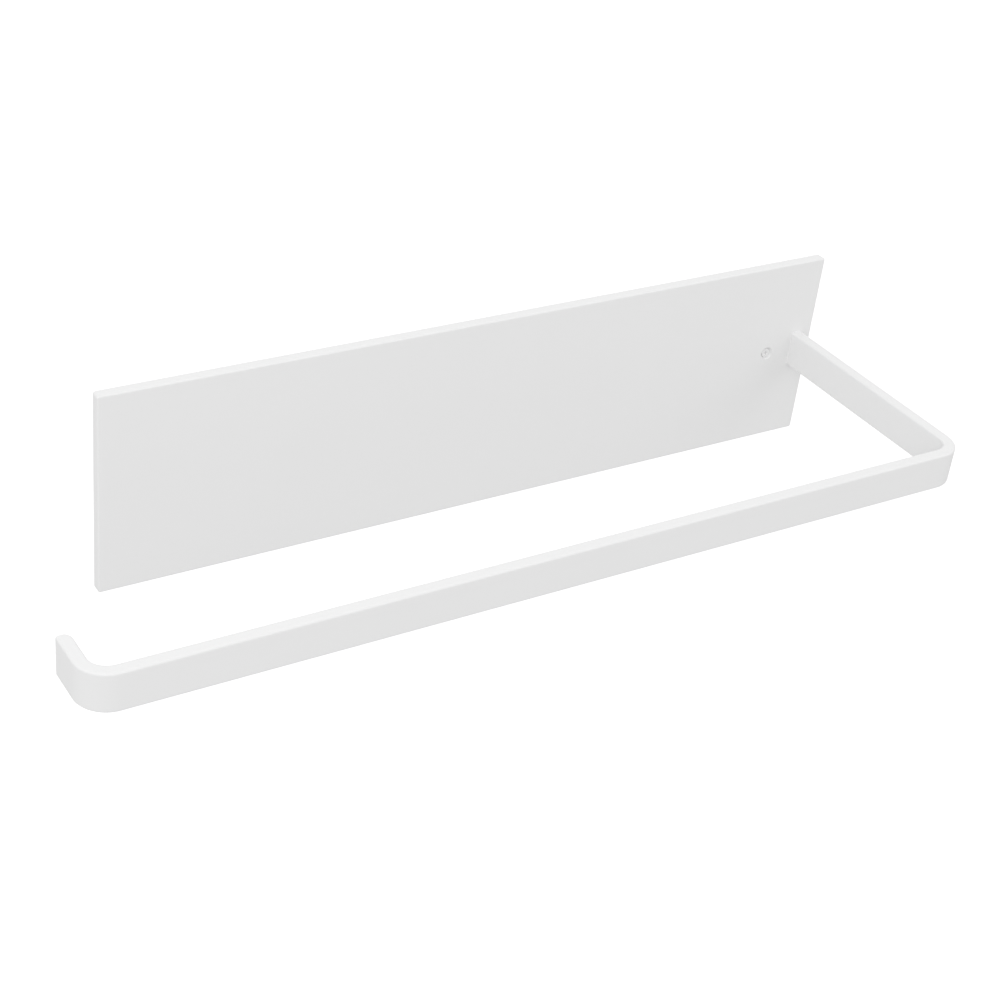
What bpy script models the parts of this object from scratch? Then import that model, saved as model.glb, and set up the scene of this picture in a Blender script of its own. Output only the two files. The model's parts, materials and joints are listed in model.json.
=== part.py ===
"""Wall-held paper towel holder.

A shallow folded-steel tray holds itself to a steel wall with eight bar magnets behind an anti-slip
sheet. A bent flat bar comes out through a slot at the tray's right end, turns left, and ends in a hook
that keeps the roll on. The bar's tenon sits in a foot plate behind the tray's face, and one countersunk
screw clamps that foot to the face.

Frame: the origin is the centre of the anti-slip sheet's rear face, on the wall. +X runs along the tray,
+Y goes into the wall, and +Z is up. Lengths are in metres.
"""

import math

import bmesh
import bpy

MM = 0.001
GAP = 0.3 * MM  # clearance between neighbouring pieces

# Tray and what is layered inside it
PLATE_LENGTH = 275.0 * MM
PLATE_HEIGHT = 70.0 * MM
SHEET_THICKNESS = 1.2 * MM  # steel of the tray
CORE_THICKNESS = 2.0 * MM  # magnets, carrier and foot plate, which lie flush
PAD_THICKNESS = 0.8 * MM
SHEET_EDGE_RADIUS = 0.55 * MM
TRAY_MARGIN = 0.8 * MM  # rim's inside to the pieces in the tray
PAD_INSET = 1.0 * MM  # carrier's edge to the anti-slip sheet's edge
CARRIER_CORNER_RADIUS = 1.5 * MM
PAD_CORNER_RADIUS = 3.0 * MM

# Flat bar, bent on edge into the arm, the front bar and the hook
BAR_HEIGHT = 13.0 * MM
BAR_THICKNESS = 4.3 * MM
BAR_SPAN = 309.5 * MM  # arm's outer face to hook's outer face
ARM_REACH = 89.0 * MM  # tray's front to the bar's front
ARM_INSET = 4.5 * MM  # tray's right end to the arm's outer face
HOOK_LENGTH = 22.0 * MM  # bar's front to the hook's tip
BEND_INNER_RADIUS = 5.7 * MM
BAR_EDGE_RADIUS = 0.7 * MM
TENON_SHOULDER = 2.0 * MM  # bar's edge to the tenon's edge, above and below

# Foot plate and its screw
FOOT_WIDTH = 34.0 * MM
FOOT_STRIP = 3.5 * MM  # foot plate's edge to the nearest magnet
FOOT_CORNER_RADIUS = 3.0 * MM
SCREW_OFFSET = 10.5 * MM  # arm's inner face to the screw's axis
SCREW_HEAD_RADIUS = 1.75 * MM
SCREW_SHANK_RADIUS = 1.25 * MM
SCREW_SINK = 0.5 * MM  # tray's front to the top of the head
SCREW_TIP_CHAMFER = 0.3 * MM
RECESS_WIDTH = 1.9 * MM  # cross recess, wing tip to wing tip
RECESS_WING = 0.5 * MM
RECESS_DEPTH = 0.5 * MM

# Bar magnets, in an upper and a lower row
MAGNET_LENGTH = 40.0 * MM
MAGNET_HEIGHT = 10.0 * MM
MAGNET_COLUMNS = 4
MAGNET_END_STRIP = 4.0 * MM  # carrier's end to the outermost magnet
MAGNET_EDGE_STRIP = 2.5 * MM  # carrier's long edge to a magnet
MAGNET_CHAMFER = 0.3 * MM

# Smoothness
BEND_SEGMENTS = 24
EDGE_SEGMENTS = 4
CORNER_SEGMENTS = 8
TURNED_STEPS = 48
BEVEL_ANGLE = math.radians(40)
MERGE_DISTANCE = 0.00001
OVERCUT = 1.0 * MM  # how far a cutter runs past the face that it opens

# Layers, from the wall out into the room, as places along Y
PAD_FRONT = -PAD_THICKNESS
CORE_REAR = PAD_FRONT - GAP
CORE_FRONT = CORE_REAR - CORE_THICKNESS
FACE_REAR = CORE_FRONT - GAP
FACE_FRONT = FACE_REAR - SHEET_THICKNESS
RIM_REAR = PAD_FRONT
BAR_FRONT = FACE_FRONT - ARM_REACH

# Half sizes of what lies inside the tray's rim
CORE_HALF_LENGTH = PLATE_LENGTH / 2 - SHEET_THICKNESS - TRAY_MARGIN
CORE_HALF_HEIGHT = PLATE_HEIGHT / 2 - SHEET_THICKNESS - TRAY_MARGIN

# Places along X and Z that several pieces share
ARM_OUTER = PLATE_LENGTH / 2 - ARM_INSET
ARM_INNER = ARM_OUTER - BAR_THICKNESS
ARM_MIDDLE = (ARM_OUTER + ARM_INNER) / 2
HOOK_OUTER = ARM_OUTER - BAR_SPAN
TENON_HEIGHT = BAR_HEIGHT - 2 * TENON_SHOULDER
SCREW_X = ARM_INNER - SCREW_OFFSET
MAGNET_ROW = CORE_HALF_HEIGHT - MAGNET_EDGE_STRIP - MAGNET_HEIGHT / 2
FOOT_X = CORE_HALF_LENGTH - FOOT_WIDTH / 2
FOOT_HALF_HEIGHT = MAGNET_ROW - MAGNET_HEIGHT / 2 - FOOT_STRIP


def clear_scene():
    """Removes every object of the open scene."""
    for obj in list(bpy.data.objects):
        bpy.data.objects.remove(obj, do_unlink=True)


def new_collection(name):
    """A collection under the scene's own."""
    collection = bpy.data.collections.new(name)
    bpy.context.scene.collection.children.link(collection)
    return collection


def new_material(name, colour, roughness, metallic):
    """A Principled material with one colour."""
    material = bpy.data.materials.new(name)
    material.use_nodes = True
    shader = material.node_tree.nodes["Principled BSDF"]
    shader.inputs["Base Color"].default_value = (*colour, 1.0)
    shader.inputs["Roughness"].default_value = roughness
    shader.inputs["Metallic"].default_value = metallic
    return material


class Workshop:
    """Where the pieces go: their collections and the empty on the wall that they hang from."""

    def __init__(self):
        self.parts = new_collection("paper_towel_holder")
        self.cutters = new_collection("cutters")
        self.wall_mount = bpy.data.objects.new("wall_mount", None)
        self.parts.objects.link(self.wall_mount)

    def add_part(self, name, mesh, place, material):
        """Adds a piece that hangs from the wall mount."""
        obj = bpy.data.objects.new(name, mesh)
        obj.location = place
        obj.parent = self.wall_mount
        obj.data.materials.clear()
        obj.data.materials.append(material)
        self.parts.objects.link(obj)
        return obj

    def add_cutter(self, name, mesh, place):
        """Adds a helper that cuts a piece and is never rendered."""
        obj = bpy.data.objects.new(name, mesh)
        obj.location = place
        obj.hide_render = True
        obj.display_type = "WIRE"
        self.cutters.objects.link(obj)
        return obj


def box_mesh(name, size, corner_radius=0.0, open_rear=False):
    """A box about its own centre. Its corners along Y can be rounded, and its +Y face left off."""
    mesh = bpy.data.meshes.new(name)
    box = bmesh.new()
    bmesh.ops.create_cube(box, size=1.0)
    bmesh.ops.scale(box, vec=size, verts=box.verts)
    if open_rear:
        rear = [face for face in box.faces if face.normal.y > 0.5]
        bmesh.ops.delete(box, geom=rear, context="FACES")
    if corner_radius:
        corners = [
            edge
            for edge in box.edges
            if abs(edge.verts[0].co.y - edge.verts[1].co.y) > size[1] / 2
        ]
        bmesh.ops.bevel(
            box,
            geom=corners,
            offset=corner_radius,
            segments=CORNER_SEGMENTS,
            profile=0.5,
            affect="EDGES",
        )
    box.to_mesh(mesh)
    box.free()
    return mesh


def profile_mesh(name, points):
    """A line of (radius, height) points in the XZ plane, for a Screw modifier to turn about Z."""
    mesh = bpy.data.meshes.new(name)
    line = bmesh.new()
    verts = [line.verts.new((radius, 0.0, height)) for radius, height in points]
    for upper, lower in zip(verts, verts[1:]):
        line.edges.new((upper, lower))
    line.to_mesh(mesh)
    line.free()
    return mesh


def add_screw_turn(obj):
    """Turns a profile about its Z axis, and lays that axis along Y so that +Z faces the room."""
    turn = obj.modifiers.new("turn", "SCREW")
    turn.axis = "Z"
    turn.steps = TURNED_STEPS
    turn.render_steps = TURNED_STEPS
    turn.use_merge_vertices = True
    turn.merge_threshold = MERGE_DISTANCE
    turn.use_smooth_shade = True
    obj.rotation_euler = (math.pi / 2, 0.0, 0.0)


def add_bevel(obj, width, segments=EDGE_SEGMENTS):
    """Rounds the sharp edges of a piece."""
    bevel = obj.modifiers.new("rounded_edges", "BEVEL")
    bevel.width = width
    bevel.segments = segments
    bevel.limit_method = "ANGLE"
    bevel.angle_limit = BEVEL_ANGLE


def add_cut(obj, cutter):
    """Cuts a piece with a helper."""
    cut = obj.modifiers.new(cutter.name, "BOOLEAN")
    cut.operation = "DIFFERENCE"
    cut.solver = "EXACT"
    cut.object = cutter


def arc_points(centre, radius, start, end):
    """Points on an arc in plan, from one angle to another, with both ends."""
    points = []
    for step in range(BEND_SEGMENTS + 1):
        angle = start + (end - start) * step / BEND_SEGMENTS
        points.append((centre[0] + radius * math.cos(angle), centre[1] + radius * math.sin(angle)))
    return points


def bar_centreline():
    """The flat bar's middle line in plan: tenon, arm, bend, front bar, bend and hook."""
    radius = BEND_INNER_RADIUS + BAR_THICKNESS / 2
    middle_y = BAR_FRONT + BAR_THICKNESS / 2
    hook_x = HOOK_OUTER + BAR_THICKNESS / 2
    bend_y = middle_y + radius
    points = [(ARM_MIDDLE, CORE_REAR)]
    points += arc_points((ARM_MIDDLE - radius, bend_y), radius, 0.0, -math.pi / 2)
    points += arc_points((hook_x + radius, bend_y), radius, -math.pi / 2, -math.pi)
    points.append((hook_x, BAR_FRONT + HOOK_LENGTH))
    return points


def strip_mesh(name, plan, height):
    """An upright ribbon that stands on a line in plan, half above Z = 0 and half below."""
    mesh = bpy.data.meshes.new(name)
    strip = bmesh.new()
    lower = [strip.verts.new((x, y, -height / 2)) for x, y in plan]
    upper = [strip.verts.new((x, y, height / 2)) for x, y in plan]
    for index in range(len(plan) - 1):
        after = index + 1
        strip.faces.new((lower[index], lower[after], upper[after], upper[index]))
    strip.to_mesh(mesh)
    strip.free()
    return mesh


def make_face_plate(shop, paint):
    """The tray: a steel sheet with its four edges folded back, a slot for the arm and a screw hole."""
    depth = RIM_REAR - FACE_FRONT
    mesh = box_mesh("face_plate", (PLATE_LENGTH, depth, PLATE_HEIGHT), open_rear=True)
    plate = shop.add_part("face_plate", mesh, (0.0, (FACE_FRONT + RIM_REAR) / 2, 0.0), paint)
    wall = plate.modifiers.new("sheet_thickness", "SOLIDIFY")
    wall.thickness = SHEET_THICKNESS
    wall.offset = -1.0
    wall.use_even_offset = True
    add_bevel(plate, SHEET_EDGE_RADIUS)

    slot_size = (BAR_THICKNESS + 2 * GAP, SHEET_THICKNESS + 2 * OVERCUT, BAR_HEIGHT + 2 * GAP)
    slot_place = (ARM_MIDDLE, (FACE_FRONT + FACE_REAR) / 2, 0.0)
    slot = box_mesh("arm_slot_cutter", slot_size)
    add_cut(plate, shop.add_cutter("arm_slot_cutter", slot, slot_place))

    mouth_radius = SCREW_HEAD_RADIUS + SCREW_SINK + GAP
    hole_radius = SCREW_SHANK_RADIUS + GAP
    countersink = [
        (0.0, OVERCUT),
        (mouth_radius + OVERCUT, OVERCUT),
        (hole_radius, hole_radius - mouth_radius),
        (hole_radius, -SHEET_THICKNESS - OVERCUT),
        (0.0, -SHEET_THICKNESS - OVERCUT),
    ]
    profile = profile_mesh("countersink_cutter", countersink)
    cutter = shop.add_cutter("countersink_cutter", profile, (SCREW_X, FACE_FRONT, 0.0))
    add_screw_turn(cutter)
    add_cut(plate, cutter)
    plate.data.shade_smooth()
    return plate


def make_towel_arm(shop, paint):
    """The flat bar: arm, front bar and hook in one bent length, with a tenon at its wall end."""
    mesh = strip_mesh("towel_arm", bar_centreline(), BAR_HEIGHT)
    arm = shop.add_part("towel_arm", mesh, (0.0, 0.0, 0.0), paint)
    wall = arm.modifiers.new("bar_thickness", "SOLIDIFY")
    wall.thickness = BAR_THICKNESS
    wall.offset = 0.0
    wall.use_even_offset = True
    add_bevel(arm, BAR_EDGE_RADIUS)

    # The tenon's shoulders stop level with the rear of the tray's face.
    tenon_length = CORE_REAR - FACE_REAR
    shoulder_size = (BAR_THICKNESS + 2 * OVERCUT, tenon_length + OVERCUT, TENON_SHOULDER + OVERCUT)
    shoulder_y = FACE_REAR + shoulder_size[1] / 2
    shoulder_z = TENON_HEIGHT / 2 + shoulder_size[2] / 2
    for name, side in (("upper", 1), ("lower", -1)):
        cutter_name = f"{name}_shoulder_cutter"
        cutter_mesh = box_mesh(cutter_name, shoulder_size)
        place = (ARM_MIDDLE, shoulder_y, side * shoulder_z)
        add_cut(arm, shop.add_cutter(cutter_name, cutter_mesh, place))
    arm.data.shade_smooth()
    return arm


def make_foot_plate(shop, steel):
    """The steel foot behind the tray's face: it takes the arm's tenon and the screw's thread."""
    size = (FOOT_WIDTH, CORE_THICKNESS, 2 * FOOT_HALF_HEIGHT)
    place = (FOOT_X, (CORE_FRONT + CORE_REAR) / 2, 0.0)
    mesh = box_mesh("arm_foot_plate", size, corner_radius=FOOT_CORNER_RADIUS)
    foot = shop.add_part("arm_foot_plate", mesh, place, steel)

    mortise_size = (BAR_THICKNESS + 2 * GAP, CORE_THICKNESS + 2 * OVERCUT, TENON_HEIGHT + 2 * GAP)
    mortise = box_mesh("mortise_cutter", mortise_size)
    add_cut(foot, shop.add_cutter("mortise_cutter", mortise, (ARM_MIDDLE, place[1], 0.0)))

    hole_radius = SCREW_SHANK_RADIUS + GAP
    hole = [
        (0.0, CORE_THICKNESS / 2 + OVERCUT),
        (hole_radius, CORE_THICKNESS / 2 + OVERCUT),
        (hole_radius, -CORE_THICKNESS / 2 - OVERCUT),
        (0.0, -CORE_THICKNESS / 2 - OVERCUT),
    ]
    profile = profile_mesh("screw_hole_cutter", hole)
    cutter = shop.add_cutter("screw_hole_cutter", profile, (SCREW_X, place[1], 0.0))
    add_screw_turn(cutter)
    add_cut(foot, cutter)
    return foot


def make_foot_screw(shop, paint):
    """The countersunk screw that clamps the foot plate to the tray's face, with a cross recess."""
    head_top = -SCREW_SINK
    tip = FACE_FRONT - CORE_REAR
    profile = [
        (0.0, head_top),
        (SCREW_HEAD_RADIUS, head_top),
        (SCREW_SHANK_RADIUS, head_top - (SCREW_HEAD_RADIUS - SCREW_SHANK_RADIUS)),
        (SCREW_SHANK_RADIUS, tip + SCREW_TIP_CHAMFER),
        (SCREW_SHANK_RADIUS - SCREW_TIP_CHAMFER, tip),
        (0.0, tip),
    ]
    place = (SCREW_X, FACE_FRONT, 0.0)
    screw = shop.add_part("arm_foot_screw", profile_mesh("arm_foot_screw", profile), place, paint)
    add_screw_turn(screw)

    wing_depth = RECESS_DEPTH + OVERCUT
    wing_y = FACE_FRONT + SCREW_SINK + RECESS_DEPTH - wing_depth / 2
    wing_sizes = {
        "level_recess_cutter": (RECESS_WIDTH, wing_depth, RECESS_WING),
        "upright_recess_cutter": (RECESS_WING, wing_depth, RECESS_WIDTH),
    }
    for name, size in wing_sizes.items():
        add_cut(screw, shop.add_cutter(name, box_mesh(name, size), (SCREW_X, wing_y, 0.0)))
    return screw


def magnet_places():
    """Name and centre of each magnet: four along each of two rows."""
    first = -(CORE_HALF_LENGTH - MAGNET_END_STRIP - MAGNET_LENGTH / 2)
    pitch = -2 * first / (MAGNET_COLUMNS - 1)
    places = []
    for row, height in (("upper", MAGNET_ROW), ("lower", -MAGNET_ROW)):
        for column in range(MAGNET_COLUMNS):
            centre = (first + column * pitch, (CORE_FRONT + CORE_REAR) / 2, height)
            places.append((f"magnet_{row}_{column + 1}", centre))
    return places


def make_magnets(shop, magnet_metal):
    """The bar magnets, which share one mesh."""
    mesh = box_mesh("bar_magnet", (MAGNET_LENGTH, CORE_THICKNESS, MAGNET_HEIGHT))
    for name, centre in magnet_places():
        magnet = shop.add_part(name, mesh, centre, magnet_metal)
        add_bevel(magnet, MAGNET_CHAMFER, segments=1)


def make_magnet_carrier(shop, plastic):
    """The plastic sheet that fills the tray, with a window for each magnet and a bay for the foot."""
    size = (2 * CORE_HALF_LENGTH, CORE_THICKNESS, 2 * CORE_HALF_HEIGHT)
    middle_y = (CORE_FRONT + CORE_REAR) / 2
    mesh = box_mesh("magnet_carrier", size, corner_radius=CARRIER_CORNER_RADIUS)
    carrier = shop.add_part("magnet_carrier", mesh, (0.0, middle_y, 0.0), plastic)

    window_depth = CORE_THICKNESS + 2 * OVERCUT
    window = box_mesh("magnet_window", (MAGNET_LENGTH + 2 * GAP, window_depth, MAGNET_HEIGHT + 2 * GAP))
    for name, centre in magnet_places():
        add_cut(carrier, shop.add_cutter(f"{name}_window", window, centre))

    # The bay is open at the carrier's right end, where the foot plate reaches the tray's rim.
    bay_left = FOOT_X - FOOT_WIDTH / 2 - GAP
    bay_right = CORE_HALF_LENGTH + OVERCUT
    bay_size = (bay_right - bay_left, window_depth, 2 * (FOOT_HALF_HEIGHT + GAP))
    bay_place = ((bay_left + bay_right) / 2, middle_y, 0.0)
    add_cut(carrier, shop.add_cutter("foot_bay", box_mesh("foot_bay", bay_size), bay_place))
    return carrier


def make_anti_slip_sheet(shop, rubber):
    """The rubber sheet that covers the magnets and rests on the wall."""
    half_length = CORE_HALF_LENGTH - PAD_INSET
    half_height = CORE_HALF_HEIGHT - PAD_INSET
    size = (2 * half_length, PAD_THICKNESS, 2 * half_height)
    mesh = box_mesh("anti_slip_sheet", size, corner_radius=PAD_CORNER_RADIUS)
    return shop.add_part("anti_slip_sheet", mesh, (0.0, PAD_FRONT / 2, 0.0), rubber)


def main():
    """Builds the holder."""
    clear_scene()
    shop = Workshop()
    paint = new_material("white_powder_coat", (0.86, 0.86, 0.86), 0.5, 0.0)
    steel = new_material("zinc_plated_steel", (0.62, 0.63, 0.65), 0.35, 1.0)
    magnet_metal = new_material("nickel_plate", (0.70, 0.69, 0.66), 0.22, 1.0)
    plastic = new_material("carrier_plastic", (0.80, 0.80, 0.78), 0.6, 0.0)
    rubber = new_material("anti_slip_rubber", (0.05, 0.05, 0.055), 0.8, 0.0)

    make_face_plate(shop, paint)
    make_towel_arm(shop, paint)
    make_foot_plate(shop, steel)
    make_foot_screw(shop, paint)
    make_magnets(shop, magnet_metal)
    make_magnet_carrier(shop, plastic)
    make_anti_slip_sheet(shop, rubber)


if __name__ == "__main__":
    main()
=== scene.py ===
"""Finish, studio and camera for a wall-held paper towel holder.

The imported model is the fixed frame. Every piece is built in its own place in that frame, in metres: +X runs
along the plate towards the arm, +Y goes into the wall and +Z is up. The face plate, the towel arm, the foot
screw and the anti-slip sheet are rebuilt with the soft edges that their finish gives them. The pieces inside
the plate keep their meshes and get finishes of their own.
"""

import json
import math
from collections import namedtuple

import bmesh
import bpy
from mathutils import Matrix, Vector

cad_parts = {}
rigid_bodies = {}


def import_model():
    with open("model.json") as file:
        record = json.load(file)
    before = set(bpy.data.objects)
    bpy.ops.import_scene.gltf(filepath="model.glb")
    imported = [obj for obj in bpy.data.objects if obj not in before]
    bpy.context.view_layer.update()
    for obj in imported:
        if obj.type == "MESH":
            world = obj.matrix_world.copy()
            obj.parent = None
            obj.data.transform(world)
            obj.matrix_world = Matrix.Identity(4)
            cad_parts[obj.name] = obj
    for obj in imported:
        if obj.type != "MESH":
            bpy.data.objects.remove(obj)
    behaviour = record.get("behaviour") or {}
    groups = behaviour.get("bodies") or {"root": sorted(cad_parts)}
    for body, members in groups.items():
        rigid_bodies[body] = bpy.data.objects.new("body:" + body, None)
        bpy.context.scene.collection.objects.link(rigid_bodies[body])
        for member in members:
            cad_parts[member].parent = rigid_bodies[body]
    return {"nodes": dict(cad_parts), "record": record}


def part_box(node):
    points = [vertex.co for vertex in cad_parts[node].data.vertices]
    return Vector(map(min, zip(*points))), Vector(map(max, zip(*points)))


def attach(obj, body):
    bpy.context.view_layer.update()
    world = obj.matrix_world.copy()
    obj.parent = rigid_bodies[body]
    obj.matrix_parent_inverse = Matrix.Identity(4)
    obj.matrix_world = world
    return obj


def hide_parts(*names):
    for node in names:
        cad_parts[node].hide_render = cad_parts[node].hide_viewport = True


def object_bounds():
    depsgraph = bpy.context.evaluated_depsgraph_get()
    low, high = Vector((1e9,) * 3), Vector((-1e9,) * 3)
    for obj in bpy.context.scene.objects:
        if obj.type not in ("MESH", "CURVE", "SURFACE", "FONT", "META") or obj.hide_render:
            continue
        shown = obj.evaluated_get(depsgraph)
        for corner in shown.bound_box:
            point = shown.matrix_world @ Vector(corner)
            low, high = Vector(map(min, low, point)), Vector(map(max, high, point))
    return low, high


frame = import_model()
packed_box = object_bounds()

bl_info = {
    "name": "Paper Towel Holder Finish",
    "version": (1, 0, 0),
    "blender": (4, 5, 0),
    "location": "3D View > Sidebar > Towel Holder",
    "description": "Builds the coated pieces of a wall-held paper towel holder and its studio",
    "category": "Object",
}

MM = 0.001
X, Y, Z = range(3)
HAIR = 0.05 * MM  # smallest difference between two places

# Smoothness of the meshes
CORNER_STEPS = 10  # of a rounded corner, seen along Y or along the bar
EDGE_STEPS = 6  # of a rounded edge
BEND_STEPS = 48  # of each of the bar's two bends
TURNED_STEPS = 96  # round the screw and its countersink
SHARP_ANGLE = math.radians(38)

SCRATCH_TURNS = (0.35, 1.25, 2.6)  # directions of the handling scratches, in radians
BLOOM_SIZE = 18 * MM  # width of one pale cloud on the rubber
WING_STEPS = ((1.25, -0.5), (1.0, 0.0), (0.62, 1.0))  # share of the wing's width, and depth in recess depths
FLOOR_RADIUS = 2.0
FLOOR_RINGS = ((6.0, 0.0), (12.0, 0.4))  # radius of a ring round the floor, and how far it dips
SENSOR_WIDTH = 36.0
WHITE = (1.0, 1.0, 1.0, 1.0)


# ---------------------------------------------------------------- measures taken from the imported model


def mount_place(name):
    """Where the record puts one of its mounts."""
    for mount in frame["record"]["mounts"]:
        if mount["name"] == name:
            return Vector(mount["pos_m"])
    raise RuntimeError(f"The record has no mount named {name}")


def farthest(node, axis, wanted):
    """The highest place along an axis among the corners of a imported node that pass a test."""
    corners = frame["nodes"][node].data.vertices
    return max(corner.co[axis] for corner in corners if wanted(corner.co))


PLATE_LOW, PLATE_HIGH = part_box("face_plate")
ARM_LOW, ARM_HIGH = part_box("towel_arm")
SCREW_LOW, SCREW_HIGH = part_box("arm_foot_screw")
SHEET_LOW, SHEET_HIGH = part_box("anti_slip_sheet")

BAR_THICKNESS = 2 * (mount_place("roll_rest").y - ARM_LOW.y)
ARM_MIDDLE = ARM_HIGH.x - BAR_THICKNESS / 2
HOOK_MIDDLE = ARM_LOW.x + BAR_THICKNESS / 2
HOOK_TIP = farthest("towel_arm", Y, lambda place: place.x < ARM_LOW.x + BAR_THICKNESS)
TENON_TOP = farthest("towel_arm", Z, lambda place: place.y > ARM_HIGH.y - HAIR)
SHOULDER = farthest("towel_arm", Y, lambda place: place.z > TENON_TOP + HAIR)
STEEL_THICKNESS = SHOULDER - PLATE_LOW.y
SCREW_RADIUS = (SCREW_HIGH.x - SCREW_LOW.x) / 2
SCREW_X = (SCREW_HIGH.x + SCREW_LOW.x) / 2
SCREW_SHANK = farthest("arm_foot_screw", X, lambda place: place.y > SHOULDER) - SCREW_X


# ---------------------------------------------------------------- sizes and colours that a user may change


class CoatSettings(bpy.types.PropertyGroup):
    """The white powder coat on the plate, the arm and the screw."""

    colour: bpy.props.FloatVectorProperty(
        name="Colour",
        description="Colour of the powder coat",
        default=(0.86, 0.86, 0.86),
        min=0.0,
        max=1.0,
        subtype="COLOR",
    )
    roughness: bpy.props.FloatProperty(
        name="Roughness",
        description="Mean roughness of the coat's surface",
        default=0.46,
        min=0.0,
        max=1.0,
        subtype="FACTOR",
    )
    peel_size: bpy.props.FloatProperty(
        name="Peel Size",
        description="Width of one swell of the coat's orange peel",
        default=1.6 * MM,
        min=0.1 * MM,
        unit="LENGTH",
        subtype="DISTANCE",
    )
    peel_depth: bpy.props.FloatProperty(
        name="Peel Depth",
        description="Height of the orange peel from trough to crest",
        default=0.006 * MM,
        min=0.0,
        unit="LENGTH",
        subtype="DISTANCE",
        precision=6,
    )
    edge_wear: bpy.props.FloatProperty(
        name="Edge Wear",
        description="How far the coat is rubbed along its edges",
        default=0.12,
        min=0.0,
        max=1.0,
        subtype="FACTOR",
    )


class PlateSettings(bpy.types.PropertyGroup):
    """The face plate, a shallow tray of folded steel."""

    corner_radius: bpy.props.FloatProperty(
        name="Corner Radius",
        description="Radius of the plate's four corners, seen from the front",
        default=0.9 * MM,
        min=0.3 * MM,
        unit="LENGTH",
        subtype="DISTANCE",
    )
    fold_radius: bpy.props.FloatProperty(
        name="Fold Radius",
        description="Outer radius of the fold between the face and its rim",
        default=0.7 * MM,
        min=0.1 * MM,
        unit="LENGTH",
        subtype="DISTANCE",
    )
    rim_radius: bpy.props.FloatProperty(
        name="Rim Radius",
        description="Rounding of the rim's rear edges under the coat",
        default=0.35 * MM,
        min=0.05 * MM,
        unit="LENGTH",
        subtype="DISTANCE",
    )
    slot_clearance: bpy.props.FloatProperty(
        name="Slot Clearance",
        description="Gap between the arm and the edge of the slot that it stands in",
        default=0.1 * MM,
        min=0.0,
        unit="LENGTH",
        subtype="DISTANCE",
    )
    mouth_clearance: bpy.props.FloatProperty(
        name="Countersink Clearance",
        description="Gap between the screw's head and its countersink",
        default=0.12 * MM,
        min=0.0,
        unit="LENGTH",
        subtype="DISTANCE",
    )
    mouth_radius: bpy.props.FloatProperty(
        name="Countersink Rounding",
        description="Rounding of the countersink's rim under the coat",
        default=0.12 * MM,
        min=0.02 * MM,
        unit="LENGTH",
        subtype="DISTANCE",
    )


class ArmSettings(bpy.types.PropertyGroup):
    """The flat bar that makes the arm, the front bar and the hook."""

    bend_radius: bpy.props.FloatProperty(
        name="Bend Radius",
        description="Inner radius of the bar's two bends",
        default=5.7 * MM,
        min=1.0 * MM,
        unit="LENGTH",
        subtype="DISTANCE",
    )
    edge_radius: bpy.props.FloatProperty(
        name="Edge Radius",
        description="Rounding of the bar's long edges",
        default=0.75 * MM,
        min=0.1 * MM,
        unit="LENGTH",
        subtype="DISTANCE",
    )
    tip_outer_radius: bpy.props.FloatProperty(
        name="Tip Outer Radius",
        description="Rounding of the hook's end on its outer side, seen from above",
        default=1.0 * MM,
        min=0.1 * MM,
        unit="LENGTH",
        subtype="DISTANCE",
    )
    tip_inner_radius: bpy.props.FloatProperty(
        name="Tip Inner Radius",
        description="Rounding of the hook's end on the roll's side, seen from above",
        default=2.8 * MM,
        min=0.1 * MM,
        unit="LENGTH",
        subtype="DISTANCE",
    )
    fillet_radius: bpy.props.FloatProperty(
        name="Root Fillet",
        description="Radius of the coat's fillet where the arm leaves the plate",
        default=0.22 * MM,
        min=0.1 * MM,
        unit="LENGTH",
        subtype="DISTANCE",
    )


class ScrewSettings(bpy.types.PropertyGroup):
    """The countersunk screw that clamps the arm's foot."""

    edge_radius: bpy.props.FloatProperty(
        name="Head Rounding",
        description="Rounding of the head's rim under its paint",
        default=0.15 * MM,
        min=0.02 * MM,
        unit="LENGTH",
        subtype="DISTANCE",
    )
    recess_width: bpy.props.FloatProperty(
        name="Recess Width",
        description="Cross recess from wing tip to wing tip",
        default=1.9 * MM,
        min=0.5 * MM,
        unit="LENGTH",
        subtype="DISTANCE",
    )
    recess_wing: bpy.props.FloatProperty(
        name="Recess Wing",
        description="Thickness of one wing of the recess",
        default=0.5 * MM,
        min=0.1 * MM,
        unit="LENGTH",
        subtype="DISTANCE",
    )
    recess_depth: bpy.props.FloatProperty(
        name="Recess Depth",
        description="Depth of the recess below the head's face",
        default=0.5 * MM,
        min=0.1 * MM,
        unit="LENGTH",
        subtype="DISTANCE",
    )


class InnerSettings(bpy.types.PropertyGroup):
    """The anti-slip sheet and the pieces that it covers."""

    sheet_colour: bpy.props.FloatVectorProperty(
        name="Sheet Colour",
        description="Colour of the anti-slip sheet",
        default=(0.045, 0.046, 0.05),
        min=0.0,
        max=1.0,
        subtype="COLOR",
    )
    sheet_corner: bpy.props.FloatProperty(
        name="Sheet Corner",
        description="Radius of the anti-slip sheet's corners",
        default=3.0 * MM,
        min=0.5 * MM,
        unit="LENGTH",
        subtype="DISTANCE",
    )
    sheet_edge: bpy.props.FloatProperty(
        name="Sheet Edge",
        description="Rounding of the anti-slip sheet's cut edge",
        default=0.2 * MM,
        min=0.02 * MM,
        unit="LENGTH",
        subtype="DISTANCE",
    )
    carrier_colour: bpy.props.FloatVectorProperty(
        name="Carrier Colour",
        description="Colour of the moulded magnet carrier",
        default=(0.80, 0.80, 0.78),
        min=0.0,
        max=1.0,
        subtype="COLOR",
    )


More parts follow.
